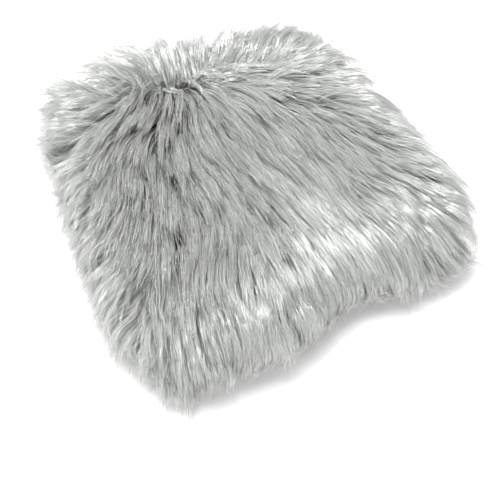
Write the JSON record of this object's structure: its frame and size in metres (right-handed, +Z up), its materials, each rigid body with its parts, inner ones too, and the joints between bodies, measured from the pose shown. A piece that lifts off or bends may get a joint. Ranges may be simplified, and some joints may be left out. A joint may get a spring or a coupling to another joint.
{
  "type": "furry windscreen",
  "caption": "Long-pile silver-grey furry jacket for a basket windshield, lying empty and flat, with a gathered elastic mouth and a side zip.",
  "frame": {"origin": "middle of the bounding box's bottom face, on the flat underside that the empty jacket lies on", "axes": "+X from the closed nose to the mouth, +Y towards the zip side, +Z up"},
  "size_m": [0.1968, 0.2054, 0.0612],
  "materials": {
    "silver_fur": "long acrylic pile, silver grey",
    "knit_backing": "knitted backing, grey",
    "hem_fabric": "woven polyester binding, charcoal",
    "elastic_band": "woven elastic, black",
    "binding_tape": "woven tape, charcoal",
    "woven_label": "plain woven satin, off white",
    "zip_tape": "woven zip tape, black",
    "zip_teeth": "moulded acetal, black",
    "zip_metal": "die-cast zinc, black enamel",
    "pull_rubber": "soft moulded grip, black"
  },
  "bodies": {
    "jacket": {"nose_fur_pile": "silver_fur", "upper_fur_pile": "silver_fur", "lower_fur_pile": "silver_fur", "nose_knit_backing": "knit_backing", "upper_knit_backing": "knit_backing", "lower_knit_backing": "knit_backing", "mouth_hem_casing": "hem_fabric", "mouth_elastic": "elastic_band", "nose_seam_binding": "binding_tape", "side_seam_binding": "binding_tape", "blank_label": "woven_label", "zip_tape_upper": "zip_tape", "zip_tape_lower": "zip_tape", "zip_teeth_upper": "zip_teeth", "zip_teeth_lower": "zip_teeth", "zip_top_stops": "zip_teeth", "zip_bottom_stop": "zip_teeth", "zip_wind_flap": "zip_tape"},
    "zip_slider": {"slider_body": "zip_metal", "slider_bridge": "zip_metal"},
    "zip_pull": {"pull_tab": "zip_metal", "pull_grip": "pull_rubber"}
  },
  "joints": [
    {"name": "zip_slide", "type": "slide", "parent": "jacket", "child": "zip_slider", "axis": [-0.9772, 0.2123, 0], "range_m": [0, 0.0738]},
    {"name": "pull_swing", "type": "hinge", "parent": "zip_slider", "child": "zip_pull", "pos_m": [0.03877, 0.06492, 0.0236], "axis": [0, 0, -1], "range_deg": [0, 170]}
  ]
}
